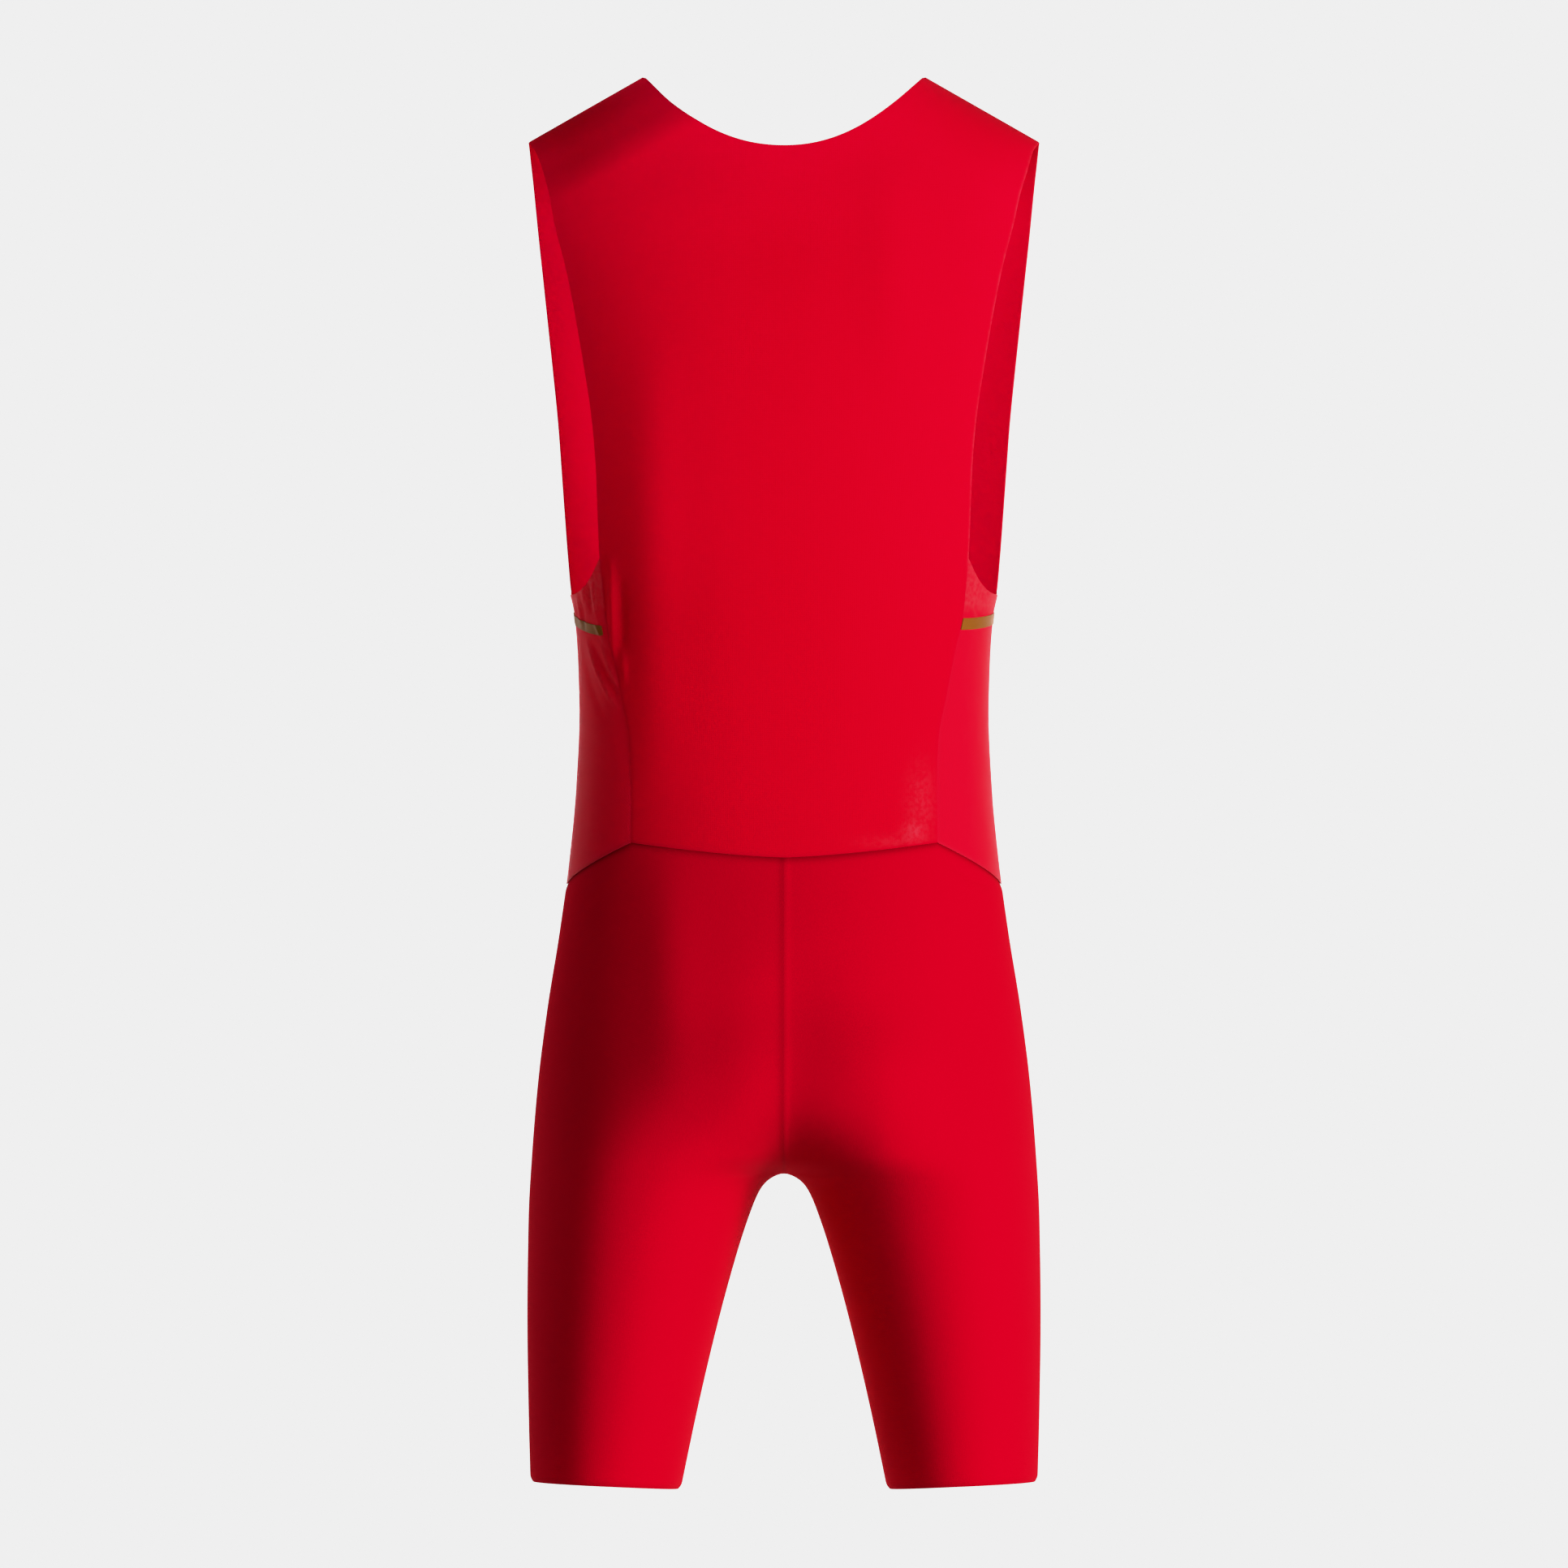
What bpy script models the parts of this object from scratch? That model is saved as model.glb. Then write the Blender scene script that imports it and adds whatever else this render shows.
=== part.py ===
"""Sleeveless athletics bodysuit, filled out as when it is worn.

Frame: +Z up, +Y towards the wearer's front, +X towards the wearer's right, in metres.
The origin lies midway between the two shoulder seams, at their mid height, where the
wearer's shoulders carry the suit. The garment sizes below are in millimetres, and a drop
is measured down from the neck point, the highest point of the shoulder seam.
"""

from collections import namedtuple

import bmesh
import bpy
import numpy as np

MM = 0.001

# Driving sizes of the garment
CLOTH = 1.6
SEAM_GAP = 0.3
TAPE = 1.0
NECK_HALF = 97.5
SHOULDER_HALF = 176.5
SHOULDER_FALL = 45.0
SHOULDER_ARCH = 58.0
CHEST = 200.0
BACK_NECK_DEPTH = 53.0
BACK_NECK_POWER = 2.12
FRONT_NECK_DEPTH = 150.0
FRONT_NECK_POWER = 2.9
UNDERARM_BACK = 335.0
UNDERARM_FRONT = 356.0
ARMHOLE_BOTTOM = 359.5
ARMHOLE_POWER = 4.2
CROTCH = 759.3
HEM_INNER = 980.0
HEM_OUTER = 974.6
HEM_ARCH = 5.0
HEM_ROLL = 5.0
HEM_TUCK = 1.6

# Waist seam: it dips at the centre and again at each side
WAIST_CENTRE = 540.6
WAIST_PEAK = 530.6
WAIST_PEAK_HALF = 105.3
WAIST_SIDE = 560.0
WAIST_CENTRE_POWER = 1.45
WAIST_SIDE_POWER = 1.35

# The two thighs run into one trunk through a soft round of this size
SOFT = 20.0
MERGE_RISE = 130.0
MERGE_START = 0.3

# How finely each piece is cut up: steps along its edges
NECK_STEPS = 5
STRAP_STEPS = 5
SIDE_STEPS = 5
BELOW_TAPE_ROWS = 8
ABOVE_TAPE_ROWS = 3
BODICE_ROWS = 16
SEAT_ROWS = 13
LEG_ROWS = 9
LEG_EASE = 1.6
SEAT_EASE = 1.8
SEAT_SPREAD = 2.2
DENSE = 240
SHARP = 40.0

SHOULDER_SLOPE = SHOULDER_FALL / (SHOULDER_HALF - NECK_HALF)
NECK_POINT_Z = SHOULDER_FALL / 2

# The general figure that the cloth is stretched over, one row for each level.
# half_width is across at the side line, back and front are the depths each way from it,
# and square is the power of the section's outline: 2 is an ellipse, more is squarer.
Level = namedtuple("Level", "drop half_width back front square")
FIGURE = [
    Level(-20, 240.0, 62, 56, 2.4),
    Level(45, 218.0, 80, 72, 2.4),
    Level(100, 200.0, 96, 88, 2.4),
    Level(171, 183.5, 106, 101, 2.4),
    Level(230, 172.5, 107, 107, 2.4),
    Level(290, 162.5, 102, 107, 2.4),
    Level(335, 153.2, 96, 105, 2.4),
    Level(359, 148.3, 93, 103, 2.4),
    Level(374, 145.2, 91, 101, 2.4),
    Level(408, 142.8, 87, 98, 2.4),
    Level(442, 142.0, 84, 95, 2.4),
    Level(493, 144.2, 86, 93, 2.4),
    Level(543, 148.9, 94, 93, 2.35),
    Level(594, 155.8, 106, 95, 2.3),
    Level(645, 164.0, 117, 98, 2.25),
    Level(696, 170.5, 123, 100, 2.2),
    Level(746, 174.7, 119, 99, 2.2),
    Level(791, 177.2, 108, 94, 2.15),
    Level(859, 178.1, 95, 86, 2.1),
    Level(926, 177.2, 85, 79, 2.1),
    Level(985, 175.6, 78, 73, 2.1),
]

# Half width of each bodice panel at its side edge: the armhole, then the side seam
Edge = namedtuple("Edge", "drop back front")
PANEL_EDGE = [
    Edge(0, 177.5, 177.5),
    Edge(45, 176.3, 177.2),
    Edge(54, 171.5, 176.7),
    Edge(70, 166.8, 175.3),
    Edge(87, 161.7, 173.8),
    Edge(104, 158.0, 172.2),
    Edge(138, 149.3, 168.6),
    Edge(172, 142.6, 165.0),
    Edge(205, 137.0, 161.5),
    Edge(239, 131.9, 158.1),
    Edge(273, 129.0, 155.5),
    Edge(307, 127.8, 152.9),
    Edge(335, 126.7, 150.5),
    Edge(359, 124.8, 147.8),
    Edge(374, 123.3, 143.8),
    Edge(402, 117.2, 136.8),
    Edge(430, 111.7, 128.0),
    Edge(459, 106.2, 118.2),
    Edge(487, 105.0, 110.6),
    Edge(531, 105.3, 105.3),
    Edge(570, 105.3, 105.3),
]

# Where the inner leg lies, measured out from the centre
Inseam = namedtuple("Inseam", "drop inner")
INSEAM = [
    Inseam(CROTCH, 0.0),
    Inseam(772, 16.6),
    Inseam(791, 24.5),
    Inseam(825, 35.2),
    Inseam(876, 48.7),
    Inseam(926, 60.3),
    Inseam(985, 72.6),
]

# The gold tape across each side panel: its drop at three places and its width
Stripe = namedtuple("Stripe", "name side at_back at_side at_front width")
STRIPES = [
    Stripe("left", -1, 384.5, 375.0, 380.0, 8.0),
    Stripe("right", 1, 380.5, 375.0, 380.0, 8.0),
]

# The pinched fold beside the left back seam: across is its place in the panel's half width
Fold = namedtuple("Fold", "side across start end reach height")
BACK_FOLDS = [
    Fold(-1, 0.91, 338, 436, 0.09, 3.0),
]

# Cloth colours, as linear red, green and blue, with roughness
Finish = namedtuple("Finish", "red green blue roughness")
BODICE_JERSEY = Finish(0.76, 0.002, 0.020, 0.62)
SHORT_JERSEY = Finish(0.66, 0.002, 0.014, 0.66)
SIDE_MESH = Finish(0.80, 0.020, 0.035, 0.70)
GOLD_TAPE = Finish(0.33, 0.14, 0.022, 0.45)


def column(table, name):
    return np.array([getattr(row, name) for row in table], float)


def smooth(knots, values, at):
    """The value at a place between table rows, on a curve that never overshoots them."""
    slopes = np.zeros_like(values)
    steps = np.diff(values) / np.diff(knots)
    both = steps[:-1] * steps[1:]
    total = steps[:-1] + steps[1:]
    slopes[1:-1] = np.where(both > 0, 2 * both / np.where(both > 0, total, 1), 0)
    slopes[0], slopes[-1] = steps[0], steps[-1]
    at = np.clip(at, knots[0], knots[-1])
    low = np.clip(np.searchsorted(knots, at, side="right") - 1, 0, len(knots) - 2)
    span = knots[low + 1] - knots[low]
    part = (at - knots[low]) / span
    rest = 1 - part
    start = (1 + 2 * part) * rest**2 * values[low] + part * rest**2 * span * slopes[low]
    end = part**2 * (1 + 2 * rest) * values[low + 1] - part**2 * rest * span * slopes[low + 1]
    return start + end


def level(name, drop):
    return smooth(column(FIGURE, "drop"), column(FIGURE, name), drop)


def panel_edge(facing, drop):
    side = "front" if facing > 0 else "back"
    return smooth(column(PANEL_EDGE, "drop"), column(PANEL_EDGE, side), drop)


def section(drop):
    """Middle and half width of one thigh's section, which grows into the whole trunk."""
    outer = np.hypot(level("half_width", drop), SOFT)
    lift = np.clip((CROTCH - drop) / MERGE_RISE, 0, 1)
    merged = MERGE_START * lift * (1 - lift) ** 2 + lift**2 * (3 - 2 * lift)
    gap = smooth(column(INSEAM, "drop"), np.hypot(column(INSEAM, "inner"), SOFT), drop)
    inner = np.where(drop > CROTCH, gap, SOFT - (SOFT + outer) * merged)
    return (outer + inner) / 2, (outer - inner) / 2


def arch(x, drop):
    """How far the shoulder's arch has opened at this place, as a share of the full depth."""
    ridge = (np.abs(x) - NECK_HALF) * SHOULDER_SLOPE
    opened = np.clip((drop - ridge) / SHOULDER_ARCH, 0, 1)
    return np.sqrt(opened * (2 - opened))


def reach(y, drop):
    return np.where(y > 0, level("front", drop), level("back", drop))


def figure_depth(x, drop, facing):
    """Y of the figure's back or front at this x."""
    middle, half = section(drop)
    power = level("square", drop)
    across = np.clip(np.abs(np.hypot(x, SOFT) - middle) / half, 0, 1)
    depth = (1 - across**power) ** (1 / power)
    return facing * reach(facing, drop) * depth * arch(x, drop)


def end_angle(drop):
    """The section angle, from the side line, at which the cloth meets the centre or inseam."""
    middle, half = section(drop)
    across = np.clip((SOFT - middle) / half, -1, 1)
    return np.arccos(np.sign(across) * np.abs(across) ** (level("square", drop) / 2))


def turn_at(x, drop):
    """Turn of the point at this x: 0 at the side line, 1 at the centre or inseam."""
    middle, half = section(drop)
    across = np.clip((np.hypot(x, SOFT) - middle) / half, -1, 1)
    angle = np.arccos(np.sign(across) * np.abs(across) ** (level("square", drop) / 2))
    return angle / end_angle(drop)


def figure_round(turn, drop):
    """Point of the right half of the figure: turn is -1 at the back, 0 at the side, 1 in front."""
    middle, half = section(drop)
    power = 2 / level("square", drop)
    angle = np.abs(turn) * end_angle(drop)
    cosine, sine = np.cos(angle), np.sin(angle)
    across = middle + half * np.sign(cosine) * np.abs(cosine) ** power
    x = np.sqrt(np.maximum(across**2 - SOFT**2, 0))
    y = np.sign(turn) * reach(turn, drop) * np.clip(sine, 0, 1) ** power
    return np.stack([x, y, NECK_POINT_Z - drop], axis=-1)


def figure_level(points):
    """Grows outwards through the figure's surface, and is the same all over it."""
    x, y = points[..., 0], points[..., 1]
    drop = NECK_POINT_Z - points[..., 2]
    middle, half = section(drop)
    power = level("square", drop)
    across = np.abs(np.hypot(x, SOFT) - middle) / half
    depth = np.abs(y) / reach(y, drop)
    rest = np.clip(1 - across**power, 0, 1)
    upper = depth**2 - arch(x, drop) ** 2 * rest ** (2 / power)
    return np.where(drop < CHEST, upper, across**power + depth**power - 1)


def outward(points):
    """Unit normals of the figure at these points."""
    small = 0.02
    slopes = []
    for axis in np.eye(3) * small:
        slopes.append(figure_level(points + axis) - figure_level(points - axis))
    normals = np.stack(slopes, axis=-1)
    return normals / np.linalg.norm(normals, axis=-1, keepdims=True)


def trimmed(grid):
    """The grid with each edge drawn in by half a seam gap."""
    drawn = grid.copy()
    for axis in (0, 1):
        lines = np.moveaxis(grid, axis, 0)
        moved = np.moveaxis(drawn, axis, 0)
        for edge, inside in ((0, 1), (-1, -2)):
            step = lines[inside] - lines[edge]
            length = np.linalg.norm(step, axis=-1, keepdims=True)
            moved[edge] += step / length * SEAM_GAP / 2
    return drawn


def spaced(line, count):
    """The line again, with evenly spaced points."""
    along = np.concatenate([[0], np.cumsum(np.linalg.norm(np.diff(line, axis=0), axis=1))])
    at = np.linspace(0, along[-1], count)
    return np.stack([np.interp(at, along, line[:, k]) for k in range(3)], axis=1)


def waist_at_centre(x):
    share = np.abs(x / WAIST_PEAK_HALF) ** WAIST_CENTRE_POWER
    return WAIST_CENTRE - (WAIST_CENTRE - WAIST_PEAK) * share


def waist_at_side(share):
    return WAIST_SIDE - (WAIST_SIDE - WAIST_PEAK) * np.abs(share) ** WAIST_SIDE_POWER


def bodice_stations():
    """Places across half a bodice panel, from the centre out, with one at the neck point."""
    neck = NECK_HALF / SHOULDER_HALF
    inner = np.linspace(0, neck, NECK_STEPS + 1)
    outer = np.linspace(neck, 1, STRAP_STEPS + 1)
    return np.concatenate([inner, outer[1:]])


def side_stations():
    return np.linspace(0, 1, SIDE_STEPS + 1)


def neckline(x, facing):
    depth = FRONT_NECK_DEPTH if facing > 0 else BACK_NECK_DEPTH
    power = FRONT_NECK_POWER if facing > 0 else BACK_NECK_POWER
    return depth * (1 - (x / NECK_HALF) ** power)


def top_of(across, facing):
    """Drop at which this column of a bodice panel ends, at the neckline or the shoulder seam."""
    low, high = 0.0, underarm(facing)
    for _ in range(50):
        drop = (low + high) / 2
        x = across * panel_edge(facing, drop)
        ends = neckline(x, facing) if x < NECK_HALF else (x - NECK_HALF) * SHOULDER_SLOPE
        low, high = (drop, high) if drop < ends else (low, drop)
    return (low + high) / 2


def bodice_point(across, drop, facing):
    x = across * panel_edge(facing, drop)
    y = figure_depth(x, drop, facing)
    return np.stack([x, y, NECK_POINT_Z - drop], axis=-1)


def underarm(facing):
    return UNDERARM_FRONT if facing > 0 else UNDERARM_BACK


def side_rows(bottom, tape, width, top):
    """Drops of the rows of a side panel, with one along each edge of its tape."""
    below = np.linspace(bottom, tape + width / 2, BELOW_TAPE_ROWS + 1)
    above = np.linspace(tape - width / 2, top, ABOVE_TAPE_ROWS + 1)
    return np.concatenate([below, above])


def seam_rise(facing):
    """How far up the side seam each of those rows ends, on the left side and on the right."""
    for stripe in STRIPES:
        tape = stripe.at_front if facing > 0 else stripe.at_back
        drops = side_rows(WAIST_PEAK, tape, stripe.width, underarm(facing))
        yield (WAIST_PEAK - drops) / (WAIST_PEAK - underarm(facing))


def bodice_column(across, facing):
    """One column of a bodice panel, from the waist seam up."""
    bottom = waist_at_centre(across * WAIST_PEAK_HALF)
    left, right = seam_rise(facing)
    rise = left + (right - left) * (across + 1) / 2
    below = bodice_point(across, bottom + (underarm(facing) - bottom) * rise, facing)
    top = top_of(abs(across), facing)
    drops = top + (underarm(facing) - top) * np.linspace(1, 0, DENSE) ** 2
    above = spaced(bodice_point(across, drops, facing), BODICE_ROWS + 1)
    return np.concatenate([below[:-1], above])


def fold_height(points, across, folds):
    drop = NECK_POINT_Z - points[..., 2]
    height = np.zeros(drop.shape)
    for fold in folds:
        beside = np.clip(1 - np.abs(across - fold.side * fold.across) / fold.reach, 0, 1)
        along = np.clip((drop - fold.start) / (fold.end - fold.start), 0, 1)
        height += fold.height * beside * np.sin(np.pi * along)
    return height


def bodice_grid(facing, folds=()):
    half = bodice_stations()
    across = np.concatenate([-half[:0:-1], half])
    grid = np.stack([bodice_column(place, facing) for place in across], axis=1)
    out = fold_height(grid, across[None, :], folds)
    return trimmed(grid) + outward(grid) * out[..., None]


def side_turn(share, drop):
    """Turn of a place across the side panel: share is -1 at its back seam, 1 at its front one."""
    back = turn_at(panel_edge(-1, drop), drop)
    front = turn_at(panel_edge(1, drop), drop)
    return share * np.where(share > 0, front, back)


def side_point(share, drop):
    return figure_round(side_turn(share, drop), drop)


def side_grid(stripe):
    half = side_stations()
    share = np.concatenate([-half[:0:-1], half])
    corner = np.where(share > 0, UNDERARM_FRONT, UNDERARM_BACK)
    top = ARMHOLE_BOTTOM - (ARMHOLE_BOTTOM - corner) * np.abs(share) ** ARMHOLE_POWER
    end = np.where(share > 0, stripe.at_front, stripe.at_back)
    tape = stripe.at_side + (end - stripe.at_side) * share**2
    drops = side_rows(waist_at_side(share), tape, stripe.width, top)
    grid = trimmed(side_point(share[None, :], drops))
    return grid if stripe.side > 0 else mirrored(grid)


def stripe_grid(panel):
    """The tape lies on the panel's two rows along its edges."""
    grid = panel[BELOW_TAPE_ROWS : BELOW_TAPE_ROWS + 2]
    return grid + outward(grid) * (SEAM_GAP + TAPE)


def leg_columns():
    """Turn and waist drop of each column of a leg piece, from the front centre to the back."""
    half = bodice_stations()[::-1]
    inner_drop = waist_at_centre(half * WAIST_PEAK_HALF)
    inner_turn = turn_at(half * WAIST_PEAK_HALF, inner_drop)
    share = side_stations()[:-1][::-1]
    outer_drop = waist_at_side(share)
    back_turn = side_turn(-share, outer_drop)
    front_turn = side_turn(share, outer_drop)
    turns = np.concatenate([inner_turn[::-1], front_turn, back_turn[::-1][1:], -inner_turn])
    drops = np.concatenate([inner_drop[::-1], outer_drop, outer_drop[::-1][1:], inner_drop])
    return turns, drops


def hem_drop(turn):
    """The hem hangs a little lower at the inner leg than at the outer, and arches between them."""
    round_leg = np.abs(turn) * np.pi
    slant = (HEM_INNER - HEM_OUTER) * (1 - np.cos(round_leg)) / 2
    return HEM_OUTER + slant - HEM_ARCH * np.sin(round_leg)


def leg_grid():
    turns, waist = leg_columns()
    turns, waist = turns[None, :], waist[None, :]
    spread = np.abs(turns) ** SEAT_SPREAD
    rise = np.linspace(0, 1, SEAT_ROWS + 1)[:, None]
    lifted = rise * (1 - spread) + rise**SEAT_EASE * spread
    seat = figure_round(turns, CROTCH - lifted * (CROTCH - waist))
    hem = hem_drop(turns)
    down = (np.linspace(1, 0, LEG_ROWS + 1) ** LEG_EASE)[:-1, None]
    leg = figure_round(turns, CROTCH + (hem - HEM_ROLL - CROTCH) * down)
    edge = figure_round(turns, hem)
    edge = edge - outward(edge) * HEM_TUCK
    grid = trimmed(np.concatenate([edge, leg, seat]))
    grid[..., 0] = np.maximum(grid[..., 0], SEAM_GAP / 2)
    return grid


def mirrored(grid):
    return grid[:, ::-1] * np.array([-1, 1, 1])


def wall(outer, thickness):
    """Points and faces of a closed wall of cloth whose outer face is this grid."""
    rows, columns = outer.shape[:2]
    inner = outer - outward(outer) * thickness
    points = np.concatenate([outer.reshape(-1, 3), inner.reshape(-1, 3)])
    number = np.arange(rows * columns).reshape(rows, columns)
    behind = number + rows * columns
    faces = []
    for r in range(rows - 1):
        for c in range(columns - 1):
            quad = [number[r, c], number[r, c + 1], number[r + 1, c + 1], number[r + 1, c]]
            faces.append(quad)
            faces.append([corner + rows * columns for corner in reversed(quad)])
    rim = [*number[0, :-1], *number[:-1, -1], *number[-1, :0:-1], *number[:0:-1, 0]]
    under = [*behind[0, :-1], *behind[:-1, -1], *behind[-1, :0:-1], *behind[:0:-1, 0]]
    for k, corner in enumerate(rim):
        after = (k + 1) % len(rim)
        faces.append([rim[after], corner, under[k], under[after]])
    return points, [[int(corner) for corner in face] for face in faces]


def material(name, finish):
    made = bpy.data.materials.get(name) or bpy.data.materials.new(name)
    made.use_nodes = True
    shader = made.node_tree.nodes["Principled BSDF"]
    shader.inputs["Base Color"].default_value = (finish.red, finish.green, finish.blue, 1)
    shader.inputs["Roughness"].default_value = finish.roughness
    shader.inputs["Metallic"].default_value = 0.0
    return made


def cloth_piece(name, grid, thickness, slot, finish):
    """Makes one sewn piece as a closed solid object."""
    points, faces = wall(grid, thickness)
    mesh = bpy.data.meshes.new(name)
    mesh.from_pydata((points * MM).tolist(), [], faces)
    shape = bmesh.new()
    shape.from_mesh(mesh)
    bmesh.ops.recalc_face_normals(shape, faces=shape.faces)
    shape.to_mesh(mesh)
    shape.free()
    mesh.shade_smooth()
    mesh.set_sharp_from_angle(angle=np.radians(SHARP))
    mesh.materials.append(material(slot, finish))
    made = bpy.data.objects.new(name, mesh)
    bpy.context.scene.collection.objects.link(made)
    return made


def build():
    for old in list(bpy.data.objects):
        bpy.data.objects.remove(old)
    cloth_piece("back_bodice", bodice_grid(-1, BACK_FOLDS), CLOTH, "bodice_jersey", BODICE_JERSEY)
    cloth_piece("front_bodice", bodice_grid(1), CLOTH, "bodice_jersey", BODICE_JERSEY)
    leg = leg_grid()
    cloth_piece("leg_left", mirrored(leg), CLOTH, "short_jersey", SHORT_JERSEY)
    cloth_piece("leg_right", leg, CLOTH, "short_jersey", SHORT_JERSEY)
    for stripe in STRIPES:
        panel = side_grid(stripe)
        cloth_piece(f"side_panel_{stripe.name}", panel, CLOTH, "side_mesh", SIDE_MESH)
        cloth_piece(f"side_stripe_{stripe.name}", stripe_grid(panel), TAPE, "gold_tape", GOLD_TAPE)


build()
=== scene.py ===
# %% [markdown]
# # A sleeveless athletics bodysuit
# The suit is one piece: a back and a front of smooth stretch jersey, a side panel of lighter
# power mesh under each arm with one gold tape across it, and close shorts whose legs are each
# cut in one round the thigh. It is shown filled out, as when it is worn, with no wearer.
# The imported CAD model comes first. It fixes every size, and each cloth shell made below
# follows the same named sizes as its solid, so no size is fitted by eye.

import math
from collections import namedtuple

import bpy
import numpy as np
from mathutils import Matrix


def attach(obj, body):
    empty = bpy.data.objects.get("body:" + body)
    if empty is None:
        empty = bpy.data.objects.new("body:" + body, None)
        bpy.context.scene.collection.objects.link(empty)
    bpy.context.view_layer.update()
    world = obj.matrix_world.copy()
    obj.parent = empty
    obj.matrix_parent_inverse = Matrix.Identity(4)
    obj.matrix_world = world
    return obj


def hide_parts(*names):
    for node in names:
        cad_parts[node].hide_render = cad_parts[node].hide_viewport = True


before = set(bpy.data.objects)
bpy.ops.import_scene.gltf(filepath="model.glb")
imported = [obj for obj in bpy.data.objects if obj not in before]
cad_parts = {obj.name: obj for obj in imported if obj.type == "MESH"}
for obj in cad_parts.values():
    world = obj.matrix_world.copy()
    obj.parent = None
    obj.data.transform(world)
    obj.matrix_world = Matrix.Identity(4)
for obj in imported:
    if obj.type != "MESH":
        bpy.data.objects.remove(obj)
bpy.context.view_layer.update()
print(len(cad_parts), "solids in the packed model")

# %% [markdown]
# ## The camera
# The suit is seen square from behind at the height of its waist. All its upright edges stay
# upright, so the camera is level, and near and far edges differ little in scale, so it stands
# far off with a long lens. The frame is 1.088 m wide where the suit hangs.

# %% Camera
CAMERA_DISTANCE = 6.045
CAMERA_HEIGHT = -0.468
LENS = 200
SENSOR = 36

camera = bpy.data.objects.new("camera", bpy.data.cameras.new("camera"))
camera.data.lens = LENS
camera.data.sensor_width = SENSOR
camera.data.clip_end = 40
camera.location = (0, -CAMERA_DISTANCE, CAMERA_HEIGHT)
camera.rotation_euler = (math.pi / 2, 0, 0)
bpy.context.scene.collection.objects.link(camera)
bpy.context.scene.camera = camera
print("frame width at the suit:", round(CAMERA_DISTANCE * SENSOR / LENS, 4), "m")

# %% [markdown]
# ## Room, floor and light
# A product studio for stretch wear has an even pale ground and a few very large soft lamps.
# Here the key lamp stands at the viewer's right and level with the suit: cloth that faces it is
# bright, the far side falls off to a deep red, and the shoulder tops, which face the ceiling,
# stay darker. Weak fill, bounce and top lamps keep the dark side from going black, and a rim
# lamp picks out its edge. Three broad lamps light the other side of the suit. They shine
# through the thin jersey, so the inside of the front, seen through the armholes, glows.
# The room's own light could come from painted walls, but a world colour is even and quick. The
# floor only shows, and neither shades nor lights the suit, so a lamp may stand below it.

# %% Room and floor
AMBIENT = 0.01
BACKDROP = 1.42
FLOOR_DROP = -1.75
FLOOR_RADIUS = 7.0


def add(tree, kind, settings=None, **links):
    """Adds one node: settings are its own values, and links say what goes into each input."""
    node = tree.nodes.new(kind)
    for name, value in (settings or {}).items():
        if isinstance(name, int) or name in node.inputs:
            node.inputs[name].default_value = value
        else:
            setattr(node, name, value)
    for name, source in links.items():
        key = int(name[1:]) if name[1:].isdigit() else name.replace("_", " ")
        tree.links.new(source, node.inputs[key])
    return node


world = bpy.data.worlds.new("studio")
world.use_nodes = True
room = world.node_tree
room.nodes.clear()
ambient = add(room, "ShaderNodeBackground", {"Color": (1, 1, 1, 1), "Strength": AMBIENT})
backdrop = add(room, "ShaderNodeBackground", {"Color": (1, 1, 1, 1), "Strength": BACKDROP})
ray = add(room, "ShaderNodeLightPath")
both = add(
    room,
    "ShaderNodeMixShader",
    i0=ray.outputs["Is Camera Ray"],
    i1=ambient.outputs[0],
    i2=backdrop.outputs[0],
)
add(room, "ShaderNodeOutputWorld", Surface=both.outputs[0])
bpy.context.scene.world = world

floor_paint = bpy.data.materials.new("pale_floor")
floor_paint.use_nodes = True
floor_paint.node_tree.nodes.clear()
glow = add(floor_paint.node_tree, "ShaderNodeEmission", {"Strength": BACKDROP})
add(floor_paint.node_tree, "ShaderNodeOutputMaterial", Surface=glow.outputs[0])
bpy.ops.mesh.primitive_circle_add(
    vertices=96, radius=FLOOR_RADIUS, fill_type="NGON", location=(0, 0, FLOOR_DROP)
)
floor = bpy.context.object
floor.name = "floor"
floor.data.materials.append(floor_paint)
for sees in ("diffuse", "glossy", "transmission", "shadow"):
    setattr(floor, f"visible_{sees}", False)

# %% Lamps
# Azimuth is measured round the suit from the camera's side towards the viewer's right, and
# bright is how much of its own colour a white cloth facing the lamp gives back.
Lamp = namedtuple("Lamp", "name azimuth elevation distance size bright")
LAMPS = [
    Lamp("key", 55, 0, 4.0, 1.6, 1.28),
    Lamp("fill", 15, 0, 4.0, 2.2, 0.20),
    Lamp("floor_bounce", 0, -45, 4.0, 2.2, 0.19),
    Lamp("top", -25, 65, 4.0, 2.2, 0.08),
    Lamp("far_right", 148, -4, 4.0, 2.6, 0.80),
    Lamp("far_middle", 180, -16, 4.0, 2.6, 1.62),
    Lamp("far_left", -150, -4, 4.0, 2.6, 0.45),
    Lamp("left_rim", -125, 0, 4.0, 2.0, 0.42),
]
SUIT_MIDDLE = (0, 0, CAMERA_HEIGHT)


def place_lamp(lamp):
    """A square area lamp aimed at the middle of the suit; the white-cloth value sets its power."""
    data = bpy.data.lights.new(lamp.name, "AREA")
    data.size = lamp.size
    data.energy = lamp.bright * math.pi**2 * lamp.distance**2
    made = bpy.data.objects.new(lamp.name, data)
    turn, lift = math.radians(lamp.azimuth), math.radians(lamp.elevation)
    out = np.array([math.sin(turn) * math.cos(lift), -math.cos(turn) * math.cos(lift), math.sin(lift)])
    made.location = out * lamp.distance + SUIT_MIDDLE
    made.rotation_euler = (math.pi / 2 - lift, 0, turn)
    made.visible_camera = False
    bpy.context.scene.collection.objects.link(made)
    return made


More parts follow.
